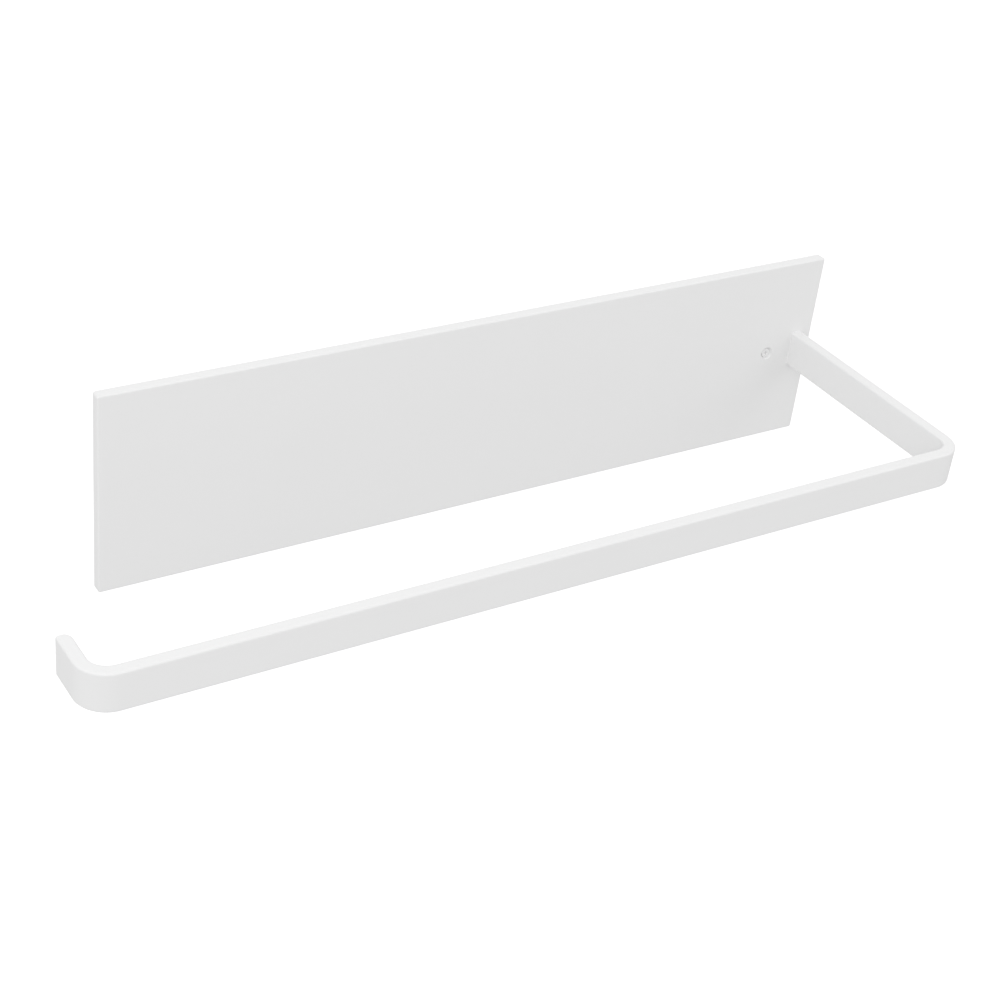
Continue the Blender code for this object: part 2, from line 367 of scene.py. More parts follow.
class StageSettings(bpy.types.PropertyGroup):
    """Floor, light and camera."""

    floor_drop: bpy.props.FloatProperty(
        name="Floor Drop",
        description="From the holder's lowest edge down to the floor",
        default=0.5,
        min=0.0,
        unit="LENGTH",
        subtype="DISTANCE",
    )
    floor_colour: bpy.props.FloatVectorProperty(
        name="Floor Colour",
        description="Colour of the floor",
        default=(0.93, 0.93, 0.93),
        min=0.0,
        max=1.0,
        subtype="COLOR",
    )
    sky_light: bpy.props.FloatProperty(
        name="Light From Above",
        description="Brightness of the studio's upper half",
        default=0.864,
        min=0.0,
    )
    ground_light: bpy.props.FloatProperty(
        name="Light From Below",
        description="Brightness of the studio's lower half",
        default=0.736,
        min=0.0,
    )
    left_power: bpy.props.FloatProperty(
        name="Left Light",
        description="Power of the soft light at the left",
        default=2.1,
        min=0.0,
        unit="POWER",
    )
    front_power: bpy.props.FloatProperty(
        name="Front Light",
        description="Power of the soft light between the left and the front",
        default=0.7,
        min=0.0,
        unit="POWER",
    )
    high_power: bpy.props.FloatProperty(
        name="High Light",
        description="Power of the soft light high at the left",
        default=0.9,
        min=0.0,
        unit="POWER",
    )
    right_power: bpy.props.FloatProperty(
        name="Right Light",
        description="Power of the soft light at the right",
        default=1.1,
        min=0.0,
        unit="POWER",
    )
    light_size: bpy.props.FloatProperty(
        name="Light Size",
        description="Width of each soft light",
        default=0.9,
        min=0.01,
        unit="LENGTH",
        subtype="DISTANCE",
    )
    light_distance: bpy.props.FloatProperty(
        name="Light Distance",
        description="From the holder to each soft light",
        default=1.3,
        min=0.1,
        unit="LENGTH",
        subtype="DISTANCE",
    )
    camera_place: bpy.props.FloatVectorProperty(
        name="Camera Place",
        description="From the wall mount to the camera",
        default=(-0.32496, -0.47777, 0.32865),
        unit="LENGTH",
        subtype="TRANSLATION",
    )
    camera_turn: bpy.props.FloatProperty(
        name="Camera Turn",
        description="Turn of the view about the upright, from looking straight at the wall",
        default=math.radians(-35.20),
        unit="ROTATION",
        subtype="ANGLE",
    )
    camera_drop: bpy.props.FloatProperty(
        name="Camera Drop",
        description="Angle of the view below the level",
        default=math.radians(32.23),
        unit="ROTATION",
        subtype="ANGLE",
    )
    camera_roll: bpy.props.FloatProperty(
        name="Camera Roll",
        description="Turn of the picture about the view's own axis",
        default=math.radians(6.98),
        unit="ROTATION",
        subtype="ANGLE",
    )
    lens: bpy.props.FloatProperty(
        name="Lens",
        description="Focal length in millimetres on a 36 mm sensor",
        default=71.39,
        min=1.0,
        unit="CAMERA",
    )


# ---------------------------------------------------------------- mesh making


def quarter_turn(steps):
    """Sine and cosine at even steps from 0 to 90 degrees, with both ends."""
    angles = [math.pi / 2 * step / steps for step in range(steps + 1)]
    return [(math.sin(angle), math.cos(angle)) for angle in angles]


def rounded_rectangle(half_width, half_height, radius):
    """Points round a rectangle whose corners are rounded, anticlockwise."""
    points = []
    for quarter, (side, up) in enumerate(((1, 1), (-1, 1), (-1, -1), (1, -1))):
        for step in range(CORNER_STEPS + 1):
            angle = math.pi / 2 * (quarter + step / CORNER_STEPS)
            across = side * (half_width - radius) + radius * math.cos(angle)
            points.append((across, up * (half_height - radius) + radius * math.sin(angle)))
    return points


def circle(radius):
    """Points round a circle."""
    angles = [2 * math.pi * step / TURNED_STEPS for step in range(TURNED_STEPS)]
    return [(radius * math.cos(angle), radius * math.sin(angle)) for angle in angles]


def upright(outline, centre_x, y):
    """An outline of across and up, stood in the plane at y."""
    return [(centre_x + across, y, up) for across, up in outline]


def loft(name, loops, ring=False):
    """A closed skin over loops of equally many points. Its ends are filled, or joined in a ring."""
    skin = bmesh.new()
    rows = [[skin.verts.new(point) for point in loop] for loop in loops]
    joins = list(zip(rows, rows[1:]))
    if ring:
        joins.append((rows[-1], rows[0]))
    else:
        skin.faces.new(rows[0])
        skin.faces.new(rows[-1])
    for first, second in joins:
        for here in range(len(first)):
            after = (here + 1) % len(first)
            skin.faces.new((first[here], first[after], second[after], second[here]))
    bmesh.ops.recalc_face_normals(skin, faces=skin.faces)
    mesh = bpy.data.meshes.new(name)
    skin.to_mesh(mesh)
    skin.free()
    return mesh


def cut_away(mesh, *tools):
    """A mesh less the tools, which are closed meshes."""
    scene_objects = bpy.context.scene.collection.objects
    body = bpy.data.objects.new("work", mesh)
    scene_objects.link(body)
    cutters = []
    for tool in tools:
        cutter = bpy.data.objects.new("cutter", tool)
        scene_objects.link(cutter)
        cutters.append(cutter)
        cut = body.modifiers.new("cut", "BOOLEAN")
        cut.operation = "DIFFERENCE"
        cut.solver = "EXACT"
        cut.object = cutter
    depsgraph = bpy.context.evaluated_depsgraph_get()
    made = bpy.data.meshes.new_from_object(body.evaluated_get(depsgraph))
    made.name = mesh.name
    for helper in (body, *cutters):
        bpy.data.objects.remove(helper)
    return made


def add_piece(name, mesh, finish):
    """Puts a finished mesh in the scene, smooth but for its real corners."""
    old = bpy.data.objects.get(name)
    if old:
        bpy.data.objects.remove(old)
    mesh.materials.clear()
    mesh.materials.append(finish)
    mesh.shade_smooth()
    mesh.set_sharp_from_angle(angle=SHARP_ANGLE)
    piece = bpy.data.objects.new(name, mesh)
    bpy.context.scene.collection.objects.link(piece)
    flats = piece.modifiers.new("even_flats", "WEIGHTED_NORMAL")
    flats.keep_sharp = True
    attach(piece, "root")
    return piece


# ---------------------------------------------------------------- shader making


class Wiring:
    """Adds nodes to a node tree and joins them."""

    def __init__(self, tree):
        self.tree = tree

    def node(self, kind, values=None, **settings):
        """A node with its settings and its input values. A value that is a socket is linked."""
        made = self.tree.nodes.new(kind)
        for key, value in settings.items():
            setattr(made, key, value)
        self.fill(made, values or {})
        return made

    def fill(self, node, values):
        """Sets a node's own inputs, or links them to what changes over the surface."""
        for key, value in values.items():
            if isinstance(value, bpy.types.NodeSocket):
                self.tree.links.new(value, node.inputs[key])
            else:
                node.inputs[key].default_value = value

    def maths(self, operation, first, second=0.0, clamp=False):
        """The result of a Math node."""
        made = self.node("ShaderNodeMath", {0: first, 1: second}, operation=operation, use_clamp=clamp)
        return made.outputs[0]

    def remap(self, value, low, high, to_low, to_high):
        """A value carried from one range to another, and kept within it."""
        values = {"Value": value, "From Min": low, "From Max": high, "To Min": to_low, "To Max": to_high}
        return self.node("ShaderNodeMapRange", values).outputs["Result"]

    def mix_colours(self, factor, first, second):
        """One colour faded into another."""
        made = self.node("ShaderNodeMix", data_type="RGBA")
        for name, value in (("Factor", factor), ("A", first), ("B", second)):
            kind = "VALUE" if name == "Factor" else "RGBA"
            socket = next(s for s in made.inputs if s.name == name and s.type == kind)
            if isinstance(value, bpy.types.NodeSocket):
                self.tree.links.new(value, socket)
            else:
                socket.default_value = value if name == "Factor" else (*value, 1.0)
        return next(s for s in made.outputs if s.type == "RGBA")

    def place_over(self, size):
        """Object coordinates in units of a length."""
        place = self.node("ShaderNodeTexCoord").outputs["Object"]
        share = self.maths("DIVIDE", 1.0, size)
        scaled = self.node("ShaderNodeVectorMath", {0: place, "Scale": share}, operation="SCALE")
        return scaled.outputs["Vector"]

    def noise(self, place, detail, roughness=0.5, distortion=0.0):
        """Noise from 0 to 1 at a place."""
        values = {
            "Vector": place,
            "Scale": 1.0,
            "Detail": detail,
            "Roughness": roughness,
            "Distortion": distortion,
        }
        return self.node("ShaderNodeTexNoise", values).outputs["Fac"]


def new_group(name, inputs, outputs):
    """A shader node group with float inputs and outputs, its wiring, and its two end nodes."""
    group = bpy.data.node_groups.new(name, "ShaderNodeTree")
    for label, value in inputs.items():
        socket = group.interface.new_socket(label, in_out="INPUT", socket_type="NodeSocketFloat")
        socket.default_value = value
    for label in outputs:
        group.interface.new_socket(label, in_out="OUTPUT", socket_type="NodeSocketFloat")
    wiring = Wiring(group)
    return wiring, wiring.node("NodeGroupInput").outputs, wiring.node("NodeGroupOutput").inputs


def built_once(build):
    """The node group that a function builds, built the first time that it is asked for."""
    name = build.__name__
    if name not in bpy.data.node_groups:
        build(name)
    return bpy.data.node_groups[name]


def orange_peel(name):
    """Slow swells and fine grain of a sprayed film: its height, and how its gloss and tone drift."""
    inputs = {"Swell Size": 1.6 * MM, "Grain Size": 0.3 * MM, "Grain Share": 0.25, "Drift Size": 40 * MM}
    wiring, given, wanted = new_group(name, inputs, ("Height", "Gloss", "Tone"))
    swell = wiring.noise(wiring.place_over(given["Swell Size"]), 1.5, 0.4)
    grain = wiring.noise(wiring.place_over(given["Grain Size"]), 2.0, 0.6)
    drift = wiring.noise(wiring.place_over(given["Drift Size"]), 3.0, 0.5, 0.6)
    height = wiring.node(
        "ShaderNodeMix", {"Factor": given["Grain Share"], "A": swell, "B": grain}, data_type="FLOAT"
    )
    gloss = wiring.maths("ADD", wiring.maths("MULTIPLY", grain, 0.4), wiring.maths("MULTIPLY", drift, 0.6))
    for socket, value in (("Height", height.outputs[0]), ("Gloss", gloss), ("Tone", drift)):
        wiring.tree.links.new(value, wanted[socket])


def edge_wear(name):
    """A mask that is 1 on rubbed edges and 0 on flats, broken up by noise."""
    inputs = {"Width": 0.8 * MM, "Break Size": 6 * MM, "Amount": 0.5}
    wiring, given, wanted = new_group(name, inputs, ("Mask",))
    smoothed = wiring.node("ShaderNodeBevel", {"Radius": given["Width"]}, samples=6)
    surface = wiring.node("ShaderNodeNewGeometry").outputs["Normal"]
    alike = wiring.node(
        "ShaderNodeVectorMath", {0: smoothed.outputs["Normal"], 1: surface}, operation="DOT_PRODUCT"
    )
    turned = wiring.remap(alike.outputs["Value"], 1.0, 0.90, 0.0, 1.0)
    patches = wiring.noise(wiring.place_over(given["Break Size"]), 4.0, 0.65)
    broken = wiring.remap(patches, 0.35, 0.7, 0.25, 1.0)
    mask = wiring.maths("MULTIPLY", wiring.maths("MULTIPLY", turned, broken), given["Amount"], clamp=True)
    wiring.tree.links.new(mask, wanted["Mask"])


def fine_scratches(name):
    """Long thin marks from handling: a mask, with the same marks as a height."""
    inputs = {"Width": 0.12 * MM, "Length": 14 * MM, "Amount": 0.5}
    wiring, given, wanted = new_group(name, inputs, ("Mask", "Height"))
    place = wiring.node("ShaderNodeTexCoord").outputs["Object"]
    total = None
    for turn in SCRATCH_TURNS:
        laid = wiring.node(
            "ShaderNodeVectorRotate", {"Vector": place, "Angle": turn}, rotation_type="Y_AXIS"
        )
        parts = wiring.node("ShaderNodeSeparateXYZ", {"Vector": laid.outputs[0]})
        along = wiring.maths("DIVIDE", parts.outputs["X"], given["Length"])
        across = wiring.maths("DIVIDE", parts.outputs["Z"], given["Width"])
        stretched = wiring.node("ShaderNodeCombineXYZ", {"X": along, "Y": turn, "Z": across})
        marks = wiring.noise(stretched.outputs[0], 2.0, 0.6)
        lines = wiring.remap(marks, 0.64, 0.74, 0.0, 1.0)
        total = lines if total is None else wiring.maths("MAXIMUM", total, lines)
    wiring.tree.links.new(wiring.maths("MULTIPLY", total, given["Amount"]), wanted["Mask"])
    wiring.tree.links.new(wiring.maths("SUBTRACT", 1.0, total), wanted["Height"])


def pebbled_grain(name):
    """The pebbled skin of a moulded or calendered sheet: a height, and a slow drift of tone."""
    inputs = {"Pebble Size": 0.35 * MM, "Drift Size": 25 * MM}
    wiring, given, wanted = new_group(name, inputs, ("Height", "Tone"))
    place = wiring.place_over(given["Pebble Size"])
    cells = wiring.node(
        "ShaderNodeTexVoronoi",
        {"Vector": place, "Scale": 1.0, "Smoothness": 0.7},
        feature="SMOOTH_F1",
    )
    dust = wiring.noise(place, 3.0, 0.6)
    pebbles = wiring.maths("SUBTRACT", 1.0, cells.outputs["Distance"])
    height = wiring.maths("ADD", wiring.maths("MULTIPLY", pebbles, 0.8), wiring.maths("MULTIPLY", dust, 0.2))
    drift = wiring.noise(wiring.place_over(given["Drift Size"]), 4.0, 0.55)
    wiring.tree.links.new(height, wanted["Height"])
    wiring.tree.links.new(drift, wanted["Tone"])


def new_finish(name):
    """An empty material with its wiring and its Principled shader."""
    old = bpy.data.materials.get(name)
    if old:
        bpy.data.materials.remove(old)
    material = bpy.data.materials.new(name)
    material.use_nodes = True
    wiring = Wiring(material.node_tree)
    return material, wiring, material.node_tree.nodes["Principled BSDF"]


def use_group(wiring, build, values):
    """A group placed in a material with that material's own values."""
    return wiring.node("ShaderNodeGroup", values, node_tree=built_once(build)).outputs


def bump(wiring, height, depth):
    """A normal bent by a height from 0 to 1 that stands for a depth in metres."""
    made = wiring.node("ShaderNodeBump", {"Height": height, "Strength": 1.0, "Distance": depth})
    return made.outputs["Normal"]


def lighter(colour, share):
    """A colour made lighter, or darker by a share below 1."""
    return tuple(min(1.0, part * share) for part in colour)


def coat_finish(name, coat, roughness_offset=0.0, peel_share=1.0):
    """Sprayed satin coat: faint orange peel, a slow drift of tone and gloss, and edges rubbed smooth."""
    material, wiring, shader = new_finish(name)
    peel = use_group(wiring, orange_peel, {"Swell Size": coat.peel_size})
    worn = use_group(wiring, edge_wear, {"Amount": coat.edge_wear})["Mask"]
    colour = tuple(coat.colour)
    body = wiring.mix_colours(peel["Tone"], lighter(colour, 0.992), lighter(colour, 1.008))
    base = wiring.mix_colours(worn, body, lighter(colour, 0.9))
    middle = coat.roughness + roughness_offset
    satin = wiring.remap(peel["Gloss"], 0.3, 0.7, middle - 0.04, middle + 0.04)
    rubbed = wiring.maths("SUBTRACT", satin, wiring.maths("MULTIPLY", worn, 0.3))
    values = {
        "Base Color": base,
        "Roughness": rubbed,
        "Normal": bump(wiring, peel["Height"], coat.peel_depth * peel_share),
        "IOR": 1.5,
    }
    wiring.fill(shader, values)
    return material


def plated_finish(name, colour, roughness, spangle):
    """Plated metal: cloudy plate, fine handling scratches and bright rubbed edges."""
    material, wiring, shader = new_finish(name)
    cloud = wiring.noise(wiring.place_over(spangle), 3.0, 0.6, 0.8)
    marks = use_group(wiring, fine_scratches, {"Amount": 0.6})
    worn = use_group(wiring, edge_wear, {"Width": 0.4 * MM, "Break Size": 3 * MM, "Amount": 0.7})["Mask"]
    plate = wiring.mix_colours(cloud, lighter(colour, 0.90), lighter(colour, 1.05))
    marked = wiring.mix_colours(marks["Mask"], plate, lighter(colour, 0.8))
    base = wiring.mix_colours(worn, marked, lighter(colour, 1.2))
    clouded = wiring.remap(cloud, 0.3, 0.7, roughness - 0.07, roughness + 0.07)
    scuffed = wiring.maths("ADD", clouded, wiring.maths("MULTIPLY", marks["Mask"], 0.2))
    values = {
        "Base Color": base,
        "Roughness": wiring.maths("SUBTRACT", scuffed, wiring.maths("MULTIPLY", worn, 0.1)),
        "Metallic": 1.0,
        "Normal": bump(wiring, marks["Height"], 0.002 * MM),
    }
    wiring.fill(shader, values)
    return material


def sheet_finish(name, colour, roughness, pebble, depth, edge_tone, bloom=0.0):
    """Moulded plastic or rubber: a pebbled skin with painted shade in its hollows, a slow drift of tone, pale
    bloom, and rubbed edges.
    """
    material, wiring, shader = new_finish(name)
    skin = use_group(wiring, pebbled_grain, {"Pebble Size": pebble})
    worn = use_group(wiring, edge_wear, {"Width": 0.5 * MM, "Break Size": 5 * MM, "Amount": 0.6})["Mask"]
    body = wiring.mix_colours(skin["Tone"], lighter(colour, 0.88), lighter(colour, 1.12))
    # Painted shade: the colour is darkened in the hollows between the pebbles.
    pit_shade_share = wiring.remap(skin["Height"], 0.3, 0.8, 0.25, 0.0)
    pit_shaded = wiring.mix_colours(pit_shade_share, body, lighter(colour, 0.7))
    dull = wiring.noise(wiring.place_over(BLOOM_SIZE), 5.0, 0.62, 0.4)
    clouded = wiring.mix_colours(wiring.remap(dull, 0.45, 0.75, 0.0, bloom), pit_shaded, lighter(colour, 2.2))
    values = {
        "Base Color": wiring.mix_colours(worn, clouded, lighter(colour, edge_tone)),
        "Roughness": wiring.remap(skin["Tone"], 0.3, 0.7, roughness - 0.06, roughness + 0.06),
        "Normal": bump(wiring, skin["Height"], depth),
    }
    wiring.fill(shader, values)
    return material


# ---------------------------------------------------------------- pieces


def tray_loops(plate):
    """Loops over the tray: from the front of its face, round the rim, to the rear of its face."""
    half_length = (PLATE_HIGH.x - PLATE_LOW.x) / 2
    half_height = (PLATE_HIGH.z - PLATE_LOW.z) / 2
    front, rear = PLATE_LOW.y, PLATE_HIGH.y
    fold, rim, steel = plate.fold_radius, plate.rim_radius, STEEL_THICKNESS
    inner_fold = max(steel / 4, fold - steel)
    turn = quarter_turn(EDGE_STEPS)
    profile = [(fold * (1 - s), front + fold * (1 - c)) for s, c in turn]
    profile += [(rim * (1 - c), rear - rim * (1 - s)) for s, c in turn]
    profile += [(steel - rim * (1 - s), rear - rim * (1 - c)) for s, c in turn]
    profile += [(steel + inner_fold * (1 - c), SHOULDER + inner_fold * (1 - s)) for s, c in turn]
    loops = []
    for inset, y in profile:
        radius = max(plate.corner_radius - inset, plate.corner_radius / 8)
        outline = rounded_rectangle(half_length - inset, half_height - inset, radius)
        loops.append(upright(outline, 0.0, y))
    return loops


def slot_tool(arm, clearance):
    """What the arm's slot takes out of the tray's face."""
    half_width = BAR_THICKNESS / 2 + clearance
    outline = rounded_rectangle(half_width, ARM_HIGH.z + clearance, arm.edge_radius + clearance)
    ends = (PLATE_LOW.y - MM, SHOULDER + MM)
    return loft("slot", [upright(outline, ARM_MIDDLE, y) for y in ends])


def countersink_tool(plate):
    """What the countersunk hole takes out of the tray's face, with its rim rounded."""
    front = PLATE_LOW.y
    soft = plate.mouth_radius
    mouth = SCREW_RADIUS + plate.mouth_clearance + (SCREW_LOW.y - front)
    hole = SCREW_SHANK + plate.mouth_clearance
    profile = [(mouth + soft, front - MM)]
    profile += [(mouth + soft * (1 - s), front + soft * (1 - c)) for s, c in quarter_turn(EDGE_STEPS)]
    cone_start = front + soft
    profile.append((hole, cone_start + mouth - hole))
    profile.append((hole, SHOULDER + MM))
    return loft("countersink", [upright(circle(radius), SCREW_X, y) for radius, y in profile])


def face_plate_mesh(plate, arm):
    """The tray with its slot and its screw hole."""
    tray = loft("coated_face_plate", tray_loops(plate))
    return cut_away(tray, slot_tool(arm, plate.slot_clearance), countersink_tool(plate))


Section = namedtuple("Section", "x y turn half_thickness half_height radius")


def section_loop(section):
    """The bar's outline at one place on its way. Its outer side faces the turn's direction in plan."""
    outline = rounded_rectangle(section.half_thickness, section.half_height, section.radius)
    side_x, side_y = math.cos(section.turn), math.sin(section.turn)
    return [(section.x + out * side_x, section.y + out * side_y, up) for out, up in outline]


def rounding_loss(radius, left):
    """How much a rounded corner takes off one side at a distance from the end that it rounds."""
    if left >= radius:
        return 0.0
    return radius - math.sqrt(radius**2 - (radius - left) ** 2)


def tip_sections(arm):
    """Sections of the hook's end, whose outer corner is sharper than its inner one."""
    half = BAR_THICKNESS / 2
    edge = arm.edge_radius
    sections = []
    for s, _ in quarter_turn(3 * EDGE_STEPS):
        left = arm.tip_inner_radius * (1 - s)
        outer = half - rounding_loss(arm.tip_outer_radius, left)
        inner = half - rounding_loss(arm.tip_inner_radius, left)
        thickness = (outer + inner) / 2
        middle_x = HOOK_MIDDLE - (outer - inner) / 2
        height = ARM_HIGH.z - rounding_loss(edge, left)
        sections.append(
            Section(middle_x, HOOK_TIP - left, -math.pi, thickness, height, min(edge, 0.9 * thickness))
        )
    return sections


def arm_sections(arm):
    """Sections of the flat bar from its tenon, round its two bends, to the hook's tip."""
    half = BAR_THICKNESS / 2
    height = ARM_HIGH.z
    edge = arm.edge_radius
    radius = arm.bend_radius + half
    bend_y = ARM_LOW.y + half + radius
    whole = (half, height, edge)
    tenon = (half, TENON_TOP, edge / 2)
    sections = [Section(ARM_MIDDLE, ARM_HIGH.y, 0.0, *tenon), Section(ARM_MIDDLE, SHOULDER, 0.0, *tenon)]
    sections.append(Section(ARM_MIDDLE, SHOULDER, 0.0, *whole))
    for centre_x, start in ((ARM_MIDDLE - radius, 0.0), (HOOK_MIDDLE + radius, -math.pi / 2)):
        for step in range(BEND_STEPS + 1):
            turn = start - math.pi / 2 * step / BEND_STEPS
            place = (centre_x + radius * math.cos(turn), bend_y + radius * math.sin(turn))
            sections.append(Section(*place, turn, *whole))
    return sections + tip_sections(arm)


def root_fillet_mesh(arm):
    """A ring of coat that fills the corner between the plate's face and the arm."""
    front = PLATE_LOW.y
    fillet = arm.fillet_radius
    profile = [(fillet * (1 - s), front - fillet * (1 - c)) for s, c in quarter_turn(EDGE_STEPS)]
    buried = arm.edge_radius / 4
    profile += [(-buried, front - fillet), (-buried, front + buried), (fillet, front + buried)]
    loops = []
    for outset, y in profile:
        half_width = BAR_THICKNESS / 2 + outset
        outline = rounded_rectangle(half_width, ARM_HIGH.z + outset, arm.edge_radius + outset)
        loops.append(upright(outline, ARM_MIDDLE, y))
    return loft("arm_root_fillet", loops, ring=True)


def wing_tool(screw, level):
    """One pair of wings of the cross recess, narrower at the bottom than at the top."""
    top = SCREW_LOW.y
    loops = []
    for share, depth in WING_STEPS:
        long_half = screw.recess_width / 2 * share
        short_half = screw.recess_wing / 2 * share
        sides = (long_half, short_half) if level else (short_half, long_half)
        outline = rounded_rectangle(*sides, short_half / 2)
        loops.append(upright(outline, SCREW_X, top + depth * screw.recess_depth))
    return loft("wing", loops)


def foot_screw_mesh(screw):
    """The countersunk screw, turned about its axis, with a cross recess."""
    soft = screw.edge_radius
    top, tip = SCREW_LOW.y, SCREW_HIGH.y
    profile = [(SCREW_RADIUS - soft * (1 - s), top + soft * (1 - c)) for s, c in quarter_turn(EDGE_STEPS)]
    cone_end = top + soft + SCREW_RADIUS - SCREW_SHANK
    profile += [(SCREW_SHANK, cone_end), (SCREW_SHANK, tip - 2 * soft), (SCREW_SHANK - 2 * soft, tip)]
    blank = loft("painted_foot_screw", [upright(circle(radius), SCREW_X, y) for radius, y in profile])
    return cut_away(blank, wing_tool(screw, True), wing_tool(screw, False))


def anti_slip_mesh(inner):
    """The rubber sheet, with its cut edge a little rounded."""
    half_length = (SHEET_HIGH.x - SHEET_LOW.x) / 2
    half_height = (SHEET_HIGH.z - SHEET_LOW.z) / 2
    soft = inner.sheet_edge
    profile = [(soft * (1 - s), SHEET_LOW.y + soft * (1 - c)) for s, c in quarter_turn(EDGE_STEPS)]
    profile += [(soft * (1 - c), SHEET_HIGH.y - soft * (1 - s)) for s, c in quarter_turn(EDGE_STEPS)]
    loops = []
    for inset, y in profile:
        outline = rounded_rectangle(half_length - inset, half_height - inset, inner.sheet_corner - inset)
        loops.append(upright(outline, 0.0, y))
    return loft("anti_slip_skin", loops)


class TOWEL_HOLDER_OT_face_plate(bpy.types.Operator):
    """Build the coated face plate"""

    bl_idname = "towel_holder.face_plate"
    bl_label = "Face Plate"

    def execute(self, context):
        scene = context.scene
        finish = coat_finish("powder_coat", scene.holder_coat)
        mesh = face_plate_mesh(scene.holder_plate, scene.holder_arm)
        plate = add_piece("coated_face_plate", mesh, finish)
        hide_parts("face_plate")
        return {"FINISHED"}


class TOWEL_HOLDER_OT_towel_arm(bpy.types.Operator):
    """Build the bent flat bar and the fillet of coat at its root"""

    bl_idname = "towel_holder.towel_arm"
    bl_label = "Towel Arm"

    def execute(self, context):
        settings = context.scene.holder_arm
        finish = coat_finish("bar_coat", context.scene.holder_coat)
        mesh = loft("coated_towel_arm", [section_loop(section) for section in arm_sections(settings)])
        arm = add_piece("coated_towel_arm", mesh, finish)
        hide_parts("towel_arm")
        fillet = add_piece("arm_root_fillet", root_fillet_mesh(settings), finish)
        return {"FINISHED"}


class TOWEL_HOLDER_OT_foot_screw(bpy.types.Operator):
    """Build the painted countersunk screw"""

    bl_idname = "towel_holder.foot_screw"
    bl_label = "Foot Screw"

    def execute(self, context):
        finish = coat_finish("screw_paint", context.scene.holder_coat, roughness_offset=-0.04, peel_share=0.5)
        screw = add_piece("painted_foot_screw", foot_screw_mesh(context.scene.holder_screw), finish)
        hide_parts("arm_foot_screw")
        return {"FINISHED"}


class TOWEL_HOLDER_OT_anti_slip_sheet(bpy.types.Operator):
    """Build the rubber sheet that rests on the wall"""

    bl_idname = "towel_holder.anti_slip_sheet"
    bl_label = "Anti-Slip Sheet"

    def execute(self, context):
        inner = context.scene.holder_inner
        colour = tuple(inner.sheet_colour)
        finish = sheet_finish(
            "anti_slip_rubber", colour, 0.72, 0.45 * MM, 0.03 * MM, edge_tone=1.6, bloom=0.3
        )
        sheet = add_piece("anti_slip_skin", anti_slip_mesh(inner), finish)
        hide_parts("anti_slip_sheet")
        return {"FINISHED"}


class TOWEL_HOLDER_OT_inner_pieces(bpy.types.Operator):
    """Give the foot plate, the magnets and their carrier their finishes"""

    bl_idname = "towel_holder.inner_pieces"
    bl_label = "Inner Pieces"

    def execute(self, context):
        carrier_colour = tuple(context.scene.holder_inner.carrier_colour)
        finishes = {
            "arm_foot_plate": plated_finish("zinc_plate", (0.62, 0.63, 0.65), 0.36, 5 * MM),
            "magnet": plated_finish("nickel_plate", (0.70, 0.69, 0.66), 0.24, 12 * MM),
            "magnet_carrier": sheet_finish(
                "carrier_plastic", carrier_colour, 0.55, 0.25 * MM, 0.008 * MM, edge_tone=0.9
            ),
        }
        for name, node in frame["nodes"].items():
            finish = finishes.get(name)
            if finish is None and name.startswith("magnet_"):
                finish = finishes["magnet"]
            if finish is None:
                continue
            node.data.materials.clear()
            node.data.materials.append(finish)
        return {"FINISHED"}


# ---------------------------------------------------------------- stage


def floor_mesh(level):
    """A wide round floor that dips gently away at its rim."""
    skin = bmesh.new()
    bmesh.ops.create_circle(skin, cap_ends=False, segments=64, radius=FLOOR_RADIUS)
    rim = list(skin.edges)
    skin.faces.new(skin.verts)
    for radius, dip in FLOOR_RINGS:
        made = bmesh.ops.extrude_edge_only(skin, edges=rim)["geom"]
        verts = [part for part in made if isinstance(part, bmesh.types.BMVert)]
        rim = [part for part in made if isinstance(part, bmesh.types.BMEdge)]
        for vert in verts:
            vert.co = vert.co.normalized() * radius
            vert.co.z = -dip
    bmesh.ops.translate(skin, vec=(0.0, 0.0, level), verts=skin.verts)
    bmesh.ops.recalc_face_normals(skin, faces=skin.faces)
    mesh = bpy.data.meshes.new("studio_floor")
    skin.to_mesh(mesh)
    skin.free()
    return mesh


def floor_finish(stage):
    """Matt white paper with a faint glow of its own."""
    material, wiring, shader = new_finish("floor_paper")
    colour = tuple(stage.floor_colour)
    fibres = wiring.noise(wiring.place_over(3 * MM), 3.0, 0.6)
    values = {
        "Base Color": wiring.mix_colours(fibres, lighter(colour, 0.995), lighter(colour, 1.005)),
        "Roughness": 0.9,
        "Specular IOR Level": 0.2,
        "Emission Color": WHITE,
        "Emission Strength": 0.3,
        "Normal": bump(wiring, fibres, 0.01 * MM),
    }
    wiring.fill(shader, values)
    return material


def build_world(stage):
    """An even studio, a little brighter above than below."""
    world = bpy.data.worlds.new("studio")
    world.use_nodes = True
    world.node_tree.nodes.clear()
    wiring = Wiring(world.node_tree)
    direction = wiring.node("ShaderNodeTexCoord").outputs["Generated"]
    parts = wiring.node("ShaderNodeSeparateXYZ", {"Vector": direction}).outputs
    height = wiring.node(
        "ShaderNodeMapRange",
        {
            "Value": parts["Z"],
            "From Min": -0.5,
            "From Max": 0.5,
            "To Min": stage.ground_light,
            "To Max": stage.sky_light,
        },
        interpolation_type="SMOOTHSTEP",
    )
    seen = wiring.node("ShaderNodeLightPath").outputs["Is Camera Ray"]
    strength = wiring.node(
        "ShaderNodeMix", {"Factor": seen, "A": height.outputs["Result"], "B": 1.0}, data_type="FLOAT"
    )
    background = wiring.node("ShaderNodeBackground", {"Color": WHITE, "Strength": strength.outputs[0]})
    wiring.node("ShaderNodeOutputWorld", {"Surface": background.outputs[0]})
    return world


SoftLight = namedtuple("SoftLight", "name power turn height")

